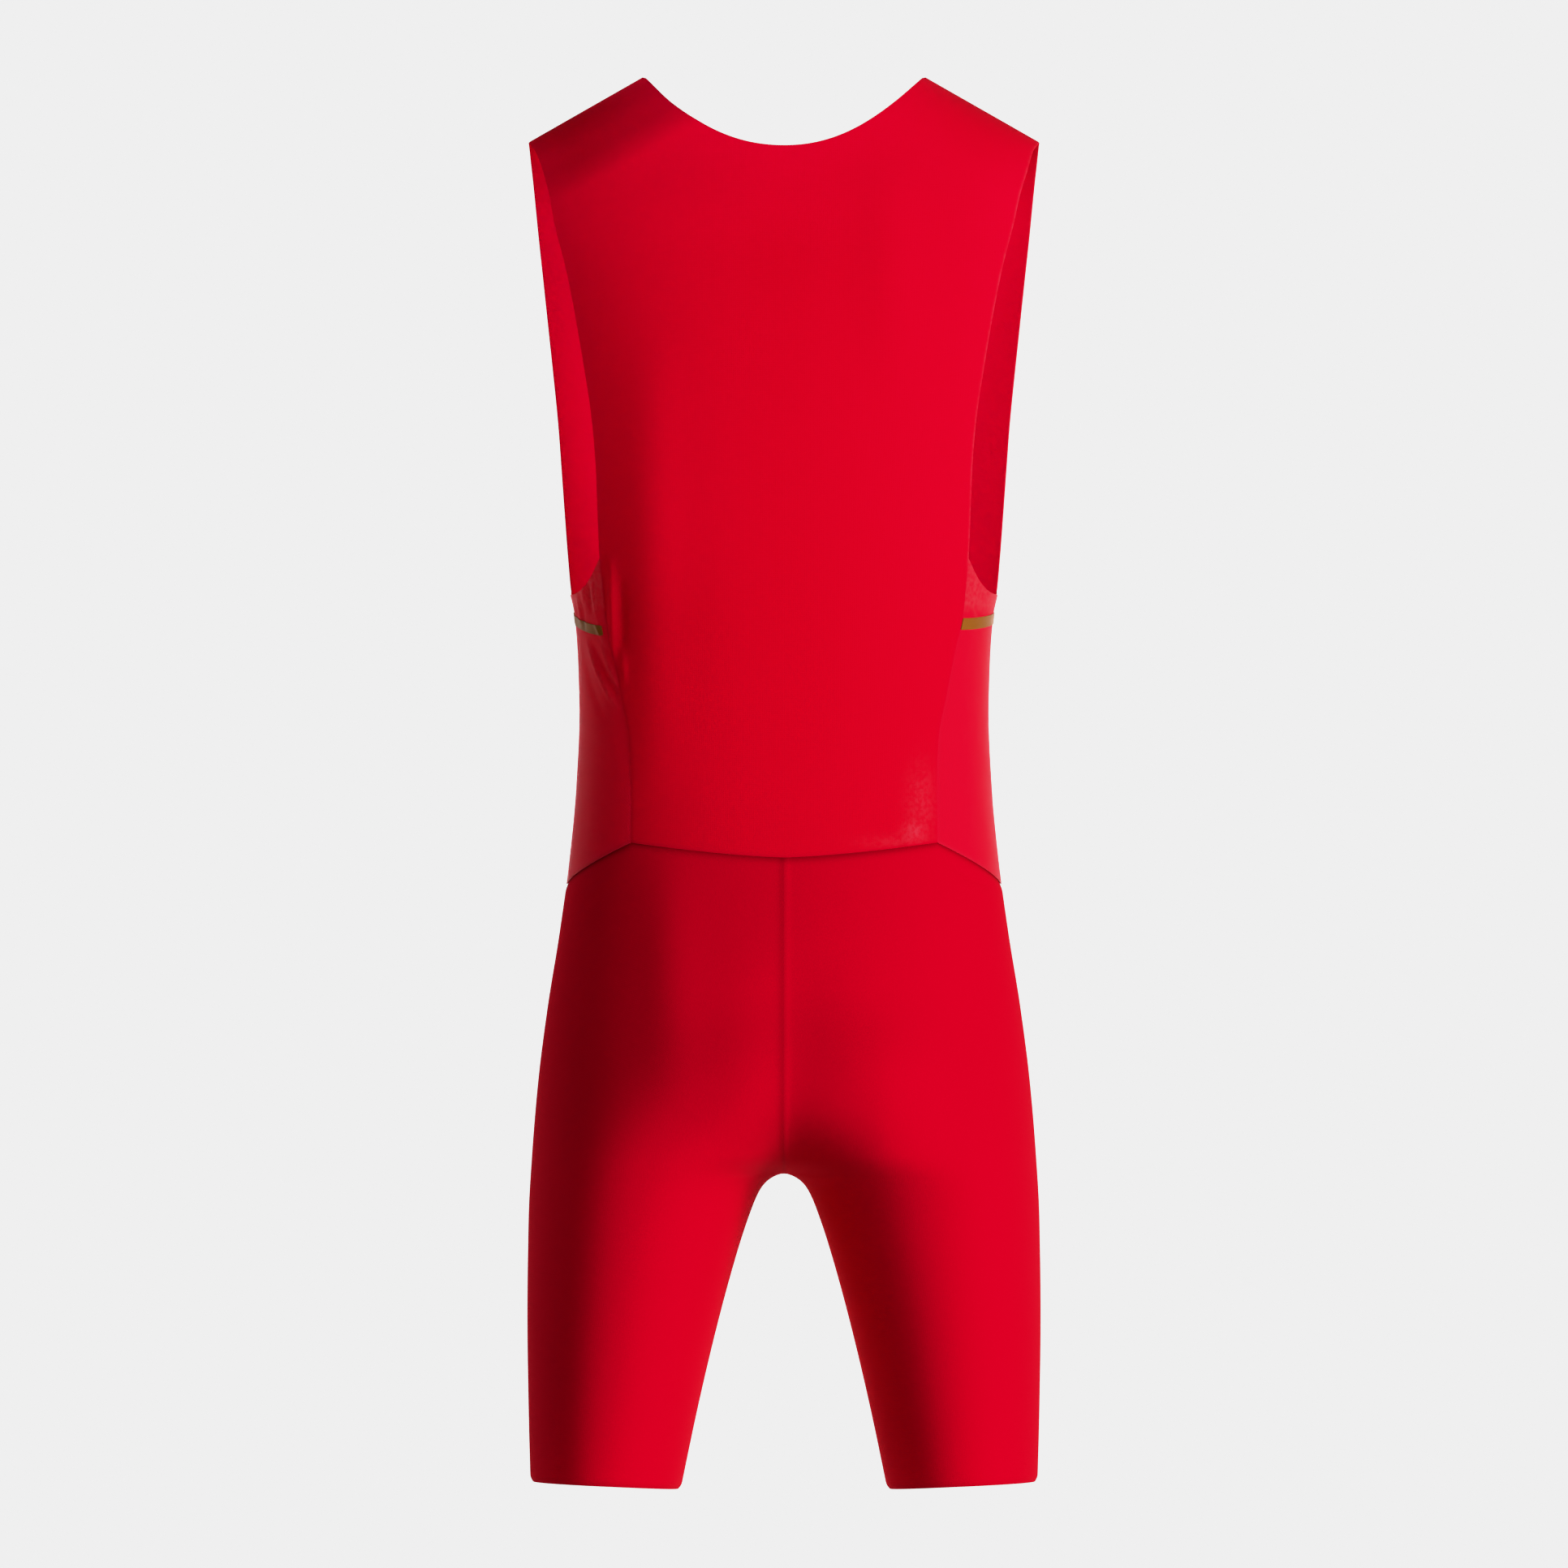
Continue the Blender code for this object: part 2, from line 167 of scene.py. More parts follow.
for lamp in LAMPS:
    placed = place_lamp(lamp)
    print(lamp.name, round(placed.data.energy), "W at", [round(v, 2) for v in placed.location])

# %% [markdown]
# ## Exposure
# Saturated red cloth under a strong lamp soon reaches the top of what a picture can hold. A
# filmic look would bleach it, so the plain transform is kept, and one curve eases the brights:
# up to half of full light it changes nothing, and above that it bends over.

# %% Tone curve
# Each row is scene light and the light shown for it, both linear
TONE = [(0.0, 0.0), (0.5, 0.5), (0.7, 0.68), (0.9, 0.76), (1.42, 0.863), (2.0, 0.93)]
look = bpy.context.scene.view_settings
look.view_transform = "Standard"
look.use_curve_mapping = True
brightest = TONE[-1][0]
look.curve_mapping.white_level = (brightest, brightest, brightest)
tone = look.curve_mapping.curves[3]
tone.points[0].location = (0, 0)
tone.points[1].location = (1, TONE[-1][1])
for light, shown in TONE[1:-1]:
    tone.points.new(light / brightest, shown)
look.curve_mapping.update()
print("tone curve of", len(tone.points), "points")

# %% [markdown]
# ## The figure the cloth is stretched over
# A close suit takes its shape from its cut stretched over a body. A plain general figure gives
# that shape: at each level a squared oval, one for the trunk that parts into two for the
# thighs. The same tables and formulas make the solids of the CAD model, so a shell made
# from them lies on its solid. Lengths here are in millimetres, and a drop is measured down from
# the neck point, the highest point of the shoulder seam.

# %% Sizes of the suit
MM = 0.001
NECK_HALF = 97.5
SHOULDER_HALF = 176.5
SHOULDER_FALL = 45.0
SHOULDER_ARCH = 58.0
SHOULDER_SLOPE = SHOULDER_FALL / (SHOULDER_HALF - NECK_HALF)
NECK_POINT_Z = SHOULDER_FALL / 2
CHEST = 200.0
NECK_DEPTH = {-1: 53.0, 1: 150.0}
NECK_POWER = {-1: 2.12, 1: 2.9}
UNDERARM = {-1: 335.0, 1: 356.0}
ARMHOLE_BOTTOM = 359.5
ARMHOLE_POWER = 4.2
CROTCH = 759.3
HEM_INNER = 980.0
HEM_OUTER = 974.6
HEM_ARCH = 5.0
WAIST_CENTRE = 540.6
WAIST_PEAK = 530.6
WAIST_PEAK_HALF = 105.3
WAIST_SIDE = 560.0
WAIST_CENTRE_POWER = 1.45
WAIST_SIDE_POWER = 1.35
SOFT = 20.0
MERGE_RISE = 130.0
MERGE_START = 0.3

Level = namedtuple("Level", "drop half_width back front square")
FIGURE = [
    Level(-20, 240.0, 62, 56, 2.4),
    Level(45, 218.0, 80, 72, 2.4),
    Level(100, 200.0, 96, 88, 2.4),
    Level(171, 183.5, 106, 101, 2.4),
    Level(230, 172.5, 107, 107, 2.4),
    Level(290, 162.5, 102, 107, 2.4),
    Level(335, 153.2, 96, 105, 2.4),
    Level(359, 148.3, 93, 103, 2.4),
    Level(374, 145.2, 91, 101, 2.4),
    Level(408, 142.8, 87, 98, 2.4),
    Level(442, 142.0, 84, 95, 2.4),
    Level(493, 144.2, 86, 93, 2.4),
    Level(543, 148.9, 94, 93, 2.35),
    Level(594, 155.8, 106, 95, 2.3),
    Level(645, 164.0, 117, 98, 2.25),
    Level(696, 170.5, 123, 100, 2.2),
    Level(746, 174.7, 119, 99, 2.2),
    Level(791, 177.2, 108, 94, 2.15),
    Level(859, 178.1, 95, 86, 2.1),
    Level(926, 177.2, 85, 79, 2.1),
    Level(985, 175.6, 78, 73, 2.1),
]

# Half width of each bodice panel at its side edge: the armhole, then the side seam
Edge = namedtuple("Edge", "drop back front")
PANEL_EDGE = [
    Edge(0, 177.5, 177.5),
    Edge(45, 176.3, 177.2),
    Edge(54, 171.5, 176.7),
    Edge(70, 166.8, 175.3),
    Edge(87, 161.7, 173.8),
    Edge(104, 158.0, 172.2),
    Edge(138, 149.3, 168.6),
    Edge(172, 142.6, 165.0),
    Edge(205, 137.0, 161.5),
    Edge(239, 131.9, 158.1),
    Edge(273, 129.0, 155.5),
    Edge(307, 127.8, 152.9),
    Edge(335, 126.7, 150.5),
    Edge(359, 124.8, 147.8),
    Edge(374, 123.3, 143.8),
    Edge(402, 117.2, 136.8),
    Edge(430, 111.7, 128.0),
    Edge(459, 106.2, 118.2),
    Edge(487, 105.0, 110.6),
    Edge(531, 105.3, 105.3),
    Edge(570, 105.3, 105.3),
]

Inseam = namedtuple("Inseam", "drop inner")
INSEAM = [
    Inseam(CROTCH, 0.0),
    Inseam(772, 16.6),
    Inseam(791, 24.5),
    Inseam(825, 35.2),
    Inseam(876, 48.7),
    Inseam(926, 60.3),
    Inseam(985, 72.6),
]
print("hem", HEM_INNER - NECK_POINT_Z, "mm below the shoulders")


# %% Smooth reading of the tables
def column(table, name):
    return np.array([getattr(row, name) for row in table], float)


def smooth(knots, values, at):
    """The value at a place between table rows, on a curve that never overshoots them."""
    slopes = np.zeros_like(values)
    steps = np.diff(values) / np.diff(knots)
    both = steps[:-1] * steps[1:]
    total = steps[:-1] + steps[1:]
    slopes[1:-1] = np.where(both > 0, 2 * both / np.where(both > 0, total, 1), 0)
    slopes[0], slopes[-1] = steps[0], steps[-1]
    at = np.clip(at, knots[0], knots[-1])
    low = np.clip(np.searchsorted(knots, at, side="right") - 1, 0, len(knots) - 2)
    span = knots[low + 1] - knots[low]
    part = (at - knots[low]) / span
    rest = 1 - part
    start = (1 + 2 * part) * rest**2 * values[low] + part * rest**2 * span * slopes[low]
    end = part**2 * (1 + 2 * rest) * values[low + 1] - part**2 * rest * span * slopes[low + 1]
    return start + end


def level(name, drop):
    return smooth(column(FIGURE, "drop"), column(FIGURE, name), drop)


def panel_edge(facing, drop):
    side = "front" if facing > 0 else "back"
    return smooth(column(PANEL_EDGE, "drop"), column(PANEL_EDGE, side), drop)


print("waist half width", level("half_width", 442.0), "mm")


# %% Sections of the figure
def section(drop):
    """Middle and half width of one thigh's section, which grows into the whole trunk."""
    outer = np.hypot(level("half_width", drop), SOFT)
    lift = np.clip((CROTCH - drop) / MERGE_RISE, 0, 1)
    merged = MERGE_START * lift * (1 - lift) ** 2 + lift**2 * (3 - 2 * lift)
    gap = smooth(column(INSEAM, "drop"), np.hypot(column(INSEAM, "inner"), SOFT), drop)
    inner = np.where(drop > CROTCH, gap, SOFT - (SOFT + outer) * merged)
    return (outer + inner) / 2, (outer - inner) / 2


def arch(x, drop):
    """How far the shoulder's arch has opened at this place, as a share of the full depth."""
    ridge = (np.abs(x) - NECK_HALF) * SHOULDER_SLOPE
    opened = np.clip((drop - ridge) / SHOULDER_ARCH, 0, 1)
    return np.sqrt(opened * (2 - opened))


def reach(y, drop):
    return np.where(y > 0, level("front", drop), level("back", drop))


def figure_depth(x, drop, facing):
    """Y of the figure's back or front at this x."""
    middle, half = section(drop)
    power = level("square", drop)
    across = np.clip(np.abs(np.hypot(x, SOFT) - middle) / half, 0, 1)
    return facing * reach(facing, drop) * (1 - across**power) ** (1 / power) * arch(x, drop)


def section_angle(across, drop):
    return np.arccos(np.sign(across) * np.abs(across) ** (level("square", drop) / 2))


def end_angle(drop):
    """The section angle, from the side line, at which the cloth meets the centre or inseam."""
    middle, half = section(drop)
    return section_angle(np.clip((SOFT - middle) / half, -1, 1), drop)


def turn_at(x, drop):
    """Turn of the point at this x: 0 at the side line, 1 at the centre or inseam."""
    middle, half = section(drop)
    return section_angle(np.clip((np.hypot(x, SOFT) - middle) / half, -1, 1), drop) / end_angle(drop)


def figure_round(turn, drop):
    """Point of the right half: turn is -1 at the back, 0 at the side, 1 in front."""
    middle, half = section(drop)
    power = 2 / level("square", drop)
    angle = np.abs(turn) * end_angle(drop)
    cosine, sine = np.cos(angle), np.sin(angle)
    across = middle + half * np.sign(cosine) * np.abs(cosine) ** power
    x = np.sqrt(np.maximum(across**2 - SOFT**2, 0))
    y = np.sign(turn) * reach(turn, drop) * np.clip(sine, 0, 1) ** power
    return np.stack([x, y, NECK_POINT_Z - drop], axis=-1)


def figure_level(points):
    """Grows outwards through the figure's surface, and is the same all over it."""
    x, y = points[..., 0], points[..., 1]
    drop = NECK_POINT_Z - points[..., 2]
    middle, half = section(drop)
    power = level("square", drop)
    across = np.abs(np.hypot(x, SOFT) - middle) / half
    depth = np.abs(y) / reach(y, drop)
    rest = np.clip(1 - across**power, 0, 1)
    upper = depth**2 - arch(x, drop) ** 2 * rest ** (2 / power)
    return np.where(drop < CHEST, upper, across**power + depth**power - 1)


def outward(points):
    """Unit normals of the figure at these points."""
    small = 0.02
    slopes = []
    for axis in np.eye(3) * small:
        slopes.append(figure_level(points + axis) - figure_level(points - axis))
    normals = np.stack(slopes, axis=-1)
    return normals / np.linalg.norm(normals, axis=-1, keepdims=True)


waist_round = figure_round(np.linspace(-1, 1, 200), np.full(200, 442.0))
girth = 2 * np.sum(np.linalg.norm(np.diff(waist_round, axis=0), axis=1))
print("girth at the waist:", round(float(girth)), "mm")

# %% [markdown]
# ## Cloth as a thin shell
# A real panel is one layer of knit about a millimetre thick with its raw edge turned over or
# bonded, so the edge looks softly round. The shell could come from Solidify and Bevel, but those
# leave the edge's roundness to chance where panels meet. Instead the shell is written
# out: an outer grid, an inner grid one thickness behind it, and a half-round of small faces
# that joins them all the way round.
# Rows lie closer together near a panel's edges, because seams and turned edges are fine there.
# Folds and seams are a relief on the grid, and the shading normals are worked out from it too,
# so that a soft fold shades smoothly however long the faces are.

# %% Grid helpers
EDGE_STEPS = 5
# Down its sides a piece stops this short of the seam line, so that its round edge presses into
# its neighbour's and no light shows between them
SEWN_IN = 0.1
# At top and bottom it stops half its thickness short, less this, so that its round edge ends
# just past the line
EDGE_SPARE = 0.05


def stations(count, close=0.55):
    """Places from 0 to 1, closer together near both ends."""
    even = np.linspace(0, 1, count)
    eased = (1 - np.cos(np.pi * even)) / 2
    return even * (1 - close) + eased * close


def lengths(line):
    """Distance of each point along a line, or along each line of a grid, from its start."""
    steps = np.linalg.norm(np.diff(line, axis=0), axis=-1)
    return np.concatenate([np.zeros_like(steps[:1]), np.cumsum(steps, axis=0)])


def along(line, at):
    """The points of a line at these shares of its length."""
    run = lengths(line)
    return np.stack([np.interp(at * run[-1], run, line[:, k]) for k in range(3)], axis=1)


def drawn_in(grid, ends, sides):
    """The grid made smaller along the cloth, by one distance at its top and bottom and another
    at its sides."""
    for axis, amount in enumerate((ends, sides)):
        lines = np.moveaxis(grid, axis, 0)
        run = lengths(lines)
        drawn = np.empty_like(lines)
        for k in range(lines.shape[1]):
            size = run[-1, k]
            at = amount + run[:, k] * (size - 2 * amount) / size
            drawn[:, k] = np.stack([np.interp(at, run[:, k], lines[:, k, j]) for j in range(3)], axis=1)
        grid = np.moveaxis(drawn, 0, axis)
    return grid


def edge_distances(grid):
    """Distance along the cloth from each point to the bottom, top, left and right edges."""
    up, over = lengths(grid), lengths(np.moveaxis(grid, 1, 0)).T
    return up, up[-1] - up, over, over[:, -1:] - over


def flat_places(left, below):
    """Where each point lies in the flat cloth, measured from its middle column and bottom."""
    middle = left.shape[1] // 2
    return np.stack([left - left[:, middle : middle + 1], below], axis=-1)


print("station spacing at an edge, as a share:", round(float(np.diff(stations(150))[0] * 149), 2))


# %% Shell from a grid
def unit(vectors):
    return vectors / np.maximum(np.linalg.norm(vectors, axis=-1, keepdims=True), 1e-9)


def edge_away(grid):
    """Direction in the cloth that leads off its edge, at every edge point."""
    away = np.zeros_like(grid)
    away[0] += unit(grid[0] - grid[1])
    away[-1] += unit(grid[-1] - grid[-2])
    away[:, 0] += unit(grid[:, 0] - grid[:, 1])
    away[:, -1] += unit(grid[:, -1] - grid[:, -2])
    return unit(away)


def edge_loop(number):
    """The numbers of the edge points, once round."""
    return np.concatenate([number[0, :-1], number[:-1, -1], number[-1, :0:-1], number[:0:-1, 0]])


def lean(grid, normals, relief):
    """The normals of the cloth once this relief stands on the grid."""
    up, over = np.gradient(grid, axis=0), np.gradient(grid, axis=1)
    rise_up, rise_over = np.gradient(relief, axis=0), np.gradient(relief, axis=1)
    uu, oo, uo = (np.sum(a * b, axis=-1) for a, b in ((up, up), (over, over), (up, over)))
    flat = np.maximum(uu * oo - uo**2, 1e-9)
    along_up = (oo * rise_up - uo * rise_over) / flat
    along_over = (uu * rise_over - uo * rise_up) / flat
    return unit(normals - along_up[..., None] * up - along_over[..., None] * over)


def shell_points(outer, normals, shading, thickness):
    """Points, faces and shading normals of the closed cloth wall, with a half-round edge."""
    rows, columns = outer.shape[:2]
    number = np.arange(rows * columns).reshape(rows, columns)
    inner = outer - normals * thickness
    radius = thickness / 2
    around = edge_loop(number)
    away = edge_away(outer).reshape(-1, 3)[around]
    normal = normals.reshape(-1, 3)[around]
    centre = outer.reshape(-1, 3)[around] - normal * radius
    rings = [around]
    points = [outer.reshape(-1, 3), inner.reshape(-1, 3)]
    shades = [shading.reshape(-1, 3), -shading.reshape(-1, 3)]
    used = 2 * rows * columns
    for k in range(1, EDGE_STEPS):
        angle = math.pi * k / EDGE_STEPS
        turned = math.cos(angle) * normal + math.sin(angle) * away
        points.append(centre + radius * turned)
        shades.append(turned)
        rings.append(np.arange(used, used + len(around)))
        used += len(around)
    rings.append(around + rows * columns)
    quads = np.stack([number[:-1, :-1], number[:-1, 1:], number[1:, 1:], number[1:, :-1]], axis=-1)
    quads = quads.reshape(-1, 4)
    faces = [quads, quads[:, ::-1] + rows * columns]
    for near, far in zip(rings, rings[1:]):
        faces.append(np.stack([np.roll(near, -1), near, far, np.roll(far, -1)], axis=1))
    return np.concatenate(points), np.concatenate(faces), np.concatenate(shades), around


def make_mesh(name, points, faces, shades, uv, marks):
    mesh = bpy.data.meshes.new(name)
    mesh.from_pydata((points * MM).tolist(), [], faces.tolist())
    layer = mesh.uv_layers.new(name="cloth")
    corner = np.empty(len(mesh.loops), np.int32)
    mesh.loops.foreach_get("vertex_index", corner)
    layer.data.foreach_set("uv", (uv[corner] * MM).ravel())
    for mark, share in marks.items():
        mesh.attributes.new(mark, "FLOAT", "POINT").data.foreach_set("value", share)
    mesh.shade_smooth()
    mesh.normals_split_custom_set_from_vertices(shades.tolist())
    return mesh


def on_shell(values, around):
    """Values of the grid points, repeated for the inner face and the rounded edge."""
    return np.concatenate([values, values] + [values[around]] * (EDGE_STEPS - 1))


def cloth_piece(name, grid, relief, thickness, finish, flat_uv, **marks):
    """Makes one piece of cloth: its outer face is this grid with the relief standing on it.
    Marks are shares from 0 to 1 at each grid point: seam, painted shade where the cloth is sewn
    and lies double or sinks in a trough, and pale, painted sheen and highlight where its face
    catches the light."""
    normals = outward(grid)
    face_sides = np.cross(grid[1:, :-1] - grid[:-1, :-1], grid[:-1, 1:] - grid[:-1, :-1])
    outer = grid + normals * relief[..., None]
    points, faces, shades, around = shell_points(outer, normals, lean(grid, normals, relief), thickness)
    if np.sum(face_sides * normals[:-1, :-1]) > 0:
        faces = faces[:, ::-1]
    uv = on_shell(flat_uv.reshape(-1, 2), around)
    shares = {}
    for mark, share in marks.items():
        shares[mark] = on_shell(np.clip(share, 0, 1).ravel(), around)
    made = bpy.data.objects.new(name, make_mesh(name, points, faces, shades, uv, shares))
    made.data.materials.append(finish)
    bpy.context.scene.collection.objects.link(made)
    print(name, "triangles", 2 * len(faces))
    return made


print("edge of each cloth: half-round of", EDGE_STEPS, "faces")

# %% [markdown]
# ## Colours
# A cloth's colour is written as the hex code a dyer's sample would be given on a screen. Shaders
# mix light and need linear values, so one function turns every code.

# %% Colour from a hex code
def linear(code):
    parts = [int(code[k : k + 2], 16) / 255 for k in (1, 3, 5)]
    turned = [p / 12.92 if p <= 0.04045 else ((p + 0.055) / 1.055) ** 2.4 for p in parts]
    return (*turned, 1.0)


BODICE_RED = "#E60226"
SHORTS_RED = "#CE001F"
MESH_RED = "#EE062E"
TAPE_GOLD = "#8A5018"
print("bodice red, linear:", [round(v, 3) for v in linear(BODICE_RED)])

# %% [markdown]
# ## Warp-knit jersey
# The bodice and the shorts are nylon and elastane tricot, knitted on warp beams: fine
# upright ribs, the wales, crossed by rows of small slanting loops. Its fibres are smooth and
# bright, so it has a dull satin face with no nap, and being thin and stretched it lets some
# light through. The real wales are 0.5 mm apart, which a picture at half a millimetre a pixel
# can't hold, so they are drawn 1 mm apart.
# Bump gives the loops, because as shapes they would be millions of faces. A translucent share
# is mixed with the plain shader for the light that comes through.

# %% Knit loops as bump
WALE = 1.0
COURSE = 1.3
# Share of the passing light that a doubled, sewn edge keeps back
SEAM_BLOCKS = 0.8


def knit(tree, wale, course, depth, slant=1.0):
    """A normal for loops in upright wales, from the cloth's own flat lengths."""
    flat = add(tree, "ShaderNodeTexCoord").outputs["UV"]
    scale = (1 / (wale * MM), 1 / (course * MM), 1)
    counted = add(tree, "ShaderNodeVectorMath", {"operation": "MULTIPLY", 1: scale}, i0=flat)
    split = add(tree, "ShaderNodeSeparateXYZ", i0=counted.outputs[0])
    rib = add(tree, "ShaderNodeMath", {"operation": "PINGPONG", 1: 0.5}, i0=split.outputs["X"])
    multiply_add = {"operation": "MULTIPLY_ADD"}
    row = add(tree, "ShaderNodeMath", {**multiply_add, 1: slant}, i0=rib.outputs[0], i2=split.outputs["Y"])
    turn = add(tree, "ShaderNodeMath", {"operation": "MULTIPLY", 1: 2 * math.pi}, i0=row.outputs[0])
    loop = add(tree, "ShaderNodeMath", {"operation": "SINE"}, i0=turn.outputs[0])
    height = add(tree, "ShaderNodeMath", {**multiply_add, 1: 0.25}, i0=loop.outputs[0], i2=rib.outputs[0])
    return add(tree, "ShaderNodeBump", {"Strength": 0.5, "Distance": depth * MM}, Height=height.outputs[0])


def cloth_finish(name, colours, settings, through, bump):
    """A knit of three colours: its own, a paler one painted as sheen and highlight where the pale
    mark lies, and a darker one painted as shade at seams and in troughs. Through says how much
    light passes it, and in what colour; a sewn edge lies double and lets less through."""
    made = bpy.data.materials.new(name)
    made.use_nodes = True
    tree = made.node_tree
    tree.nodes.clear()
    normal = bump(tree).outputs[0]
    place = add(tree, "ShaderNodeTexCoord").outputs["Object"]
    speck = add(tree, "ShaderNodeTexNoise", {"Scale": 330.0, "Detail": 2.0, "Roughness": 0.6}, Vector=place)
    uneven = {"From Min": 0.4, "From Max": 0.62, "To Min": 0.25}
    mottle = add(tree, "ShaderNodeMapRange", uneven, Value=speck.outputs[0])
    pale = add(tree, "ShaderNodeAttribute", {"attribute_name": "pale"})
    seam = add(tree, "ShaderNodeAttribute", {"attribute_name": "seam"})
    multiply = {"operation": "MULTIPLY"}
    # Painted sheen: the paler colour, mottled, where the pale mark lies
    painted_sheen_share = add(tree, "ShaderNodeMath", multiply, i0=mottle.outputs[0], i1=pale.outputs["Fac"])
    dye_and_sheen = add(tree, "ShaderNodeMix", {"data_type": "RGBA"}, i0=painted_sheen_share.outputs[0])
    # Painted shade: the darker colour at seams and in troughs
    sewn = add(tree, "ShaderNodeMix", {"data_type": "RGBA"}, i0=seam.outputs["Fac"], i6=dye_and_sheen.outputs[2])
    dye_and_sheen.inputs[6].default_value = linear(colours[0])
    dye_and_sheen.inputs[7].default_value = linear(colours[1])
    sewn.inputs[7].default_value = linear(colours[2])
    less_at_seams = {"operation": "MULTIPLY_ADD", 1: -SEAM_BLOCKS * through[0], 2: through[0]}
    share = add(tree, "ShaderNodeMath", less_at_seams, i0=seam.outputs["Fac"])
    face = add(tree, "ShaderNodeBsdfPrincipled", settings, Base_Color=sewn.outputs[2], Normal=normal)
    glow = add(tree, "ShaderNodeBsdfTranslucent", {"Color": linear(through[1])}, Normal=normal)
    mixed = add(tree, "ShaderNodeMixShader", i0=share.outputs[0], i1=face.outputs[0], i2=glow.outputs[0])
    add(tree, "ShaderNodeOutputMaterial", Surface=mixed.outputs[0])
    return made


# A plain gloss would draw a pale rim round each edge, which a knit's loops break up, so there is
# none, and a trace of sheen stands for the loops
JERSEY = {
    "Roughness": 0.6,
    "IOR": 1.5,
    "Specular IOR Level": 0.0,
    "Sheen Weight": 0.02,
    "Sheen Roughness": 0.35,
}
# Each finish's second colour is painted sheen and highlight, and its third painted shade at seams and in
# troughs
bodice_jersey = cloth_finish(
    "bodice_tricot",
    (BODICE_RED, "#FA4058", "#CC0020"),
    JERSEY,
    (0.34, "#FF1088"),
    lambda tree: knit(tree, WALE, COURSE, 0.12),
)
short_jersey = cloth_finish(
    "shorts_tricot",
    (SHORTS_RED, "#D83040", "#8C0012"),
    JERSEY,
    (0.16, "#F40C50"),
    lambda tree: knit(tree, WALE, COURSE, 0.14),
)
print("jersey finishes made")

# %% [markdown]
# ## Power mesh and gold tape
# The side panels are a lighter warp-knit power mesh. Its small eyes let air and light through,
# so it looks paler and a little pink beside the jersey. The tape is a woven lurex ribbon, flat
# gold yarn across a brown ground, with a soft metal gleam.
# The eyes of the mesh are drawn 1.6 mm apart, a little coarser than the real ones, so that they
# show. Cut holes would need a face for every thread, so the eyes are bump.

# %% Mesh and tape finishes
MESH_EYE = 1.6
TAPE_END = 1.2
TAPE_PICK = 0.8

side_mesh = cloth_finish(
    "power_mesh",
    (MESH_RED, "#EE3848", "#D80C2C"),
    {"Roughness": 0.6, "IOR": 1.5, "Specular IOR Level": 0.01, "Sheen Weight": 0.04, "Sheen Roughness": 0.3},
    (0.35, "#FF2070"),
    lambda tree: knit(tree, MESH_EYE, MESH_EYE, 0.25, 2.0),
)
gold_tape = cloth_finish(
    "lurex_tape",
    (TAPE_GOLD, "#A8803C", "#5C3A12"),
    {"Roughness": 0.6, "Metallic": 0.12, "Specular IOR Level": 0.02},
    (0.0, TAPE_GOLD),
    lambda tree: knit(tree, TAPE_END, TAPE_PICK, 0.15, 0.0),
)
print("mesh and tape finishes made")

# %% [markdown]
# ## Creases
# A stretched suit has few folds, and they sit where the cloth is slack: beside the low armhole
# and on the side mesh under it. A simulation would find others than the ones in the picture, so
# each is placed one by one as a soft ridge or trough with its own length, bow, width and height.
# Places are millimetres across from the centre line, with plus to the wearer's right, and drops
# from the neck point. On a side panel they go from -60 at the back seam to 60 at the front one.

# %% Creases and seam lines
Crease = namedtuple("Crease", "u0 v0 u1 v1 bow width height")


def creases(u, v, table):
    """Height of the creases at these places; a bow is how far the middle bends sideways."""
    height = np.zeros(np.broadcast(u, v).shape)
    for c in table:
        run_u, run_v = c.u1 - c.u0, c.v1 - c.v0
        size = math.hypot(run_u, run_v)
        part = ((u - c.u0) * run_u + (v - c.v0) * run_v) / size**2
        bend = np.sin(np.pi * np.clip(part, 0, 1))
        off = ((u - c.u0) * run_v - (v - c.v0) * run_u) / size - c.bow * bend
        height += c.height * bend**0.8 * np.exp(-((off / c.width) ** 2))
    return height


def near(distance, width):
    """1 at an edge, falling softly to 0 over about this width."""
    return np.exp(-((distance / width) ** 2))


def beside(left, right, width):
    """1 at both side seams, falling softly to 0."""
    return near(left, width) + near(right, width)


def rises(value, start, end):
    """0 before start, 1 after end, and a soft step between them."""
    part = np.clip((value - start) / (end - start), 0, 1)
    return part * part * (3 - 2 * part)


def between(value, start, full, fading, end):
    """1 from full to fading, 0 before start and after end, and soft steps between them."""
    return rises(value, start, full) * (1 - rises(value, fading, end))


# A side seam sinks a little, and its mark darkens the cloth with painted shade over this reach
SEAM_SINK = 0.12
SEAM_FLANK = 1.6
SEAM_REACH = 1.8
SIDE_SEAM_SHADE = 0.3

BACK_CREASES = [
    Crease(-119.2, 332, -117.0, 412, 0.6, 3.0, 2.7),
    Crease(-124.5, 330, -121.0, 392, 0.0, 3.2, -0.7),
    Crease(-110.6, 346, -109.5, 404, 0.0, 2.6, -1.1),
    Crease(-111.0, 396, -109.0, 424, 0.4, 2.4, 1.1),
    Crease(-90.0, 180, -88.0, 500, -2.0, 19.0, 2.5),
    Crease(70.0, 62, 76.0, 225, 0.0, 20.0, 2.4),
    Crease(117.0, 372, 118.5, 390, 0.5, 1.6, 0.5),
    Crease(116.0, 386, 111.5, 408, 0.0, 1.6, 0.35),
    Crease(112.0, 335, 116.0, 372, 1.0, 4.0, 0.4),
    Crease(76.0, 548, 96.0, 515, 2.0, 4.0, 0.45),
    Crease(66.0, 545, 90.0, 528, -1.0, 3.0, 0.35),
    Crease(88.0, 540, 94.0, 470, -3.0, 7.0, 0.5),
]
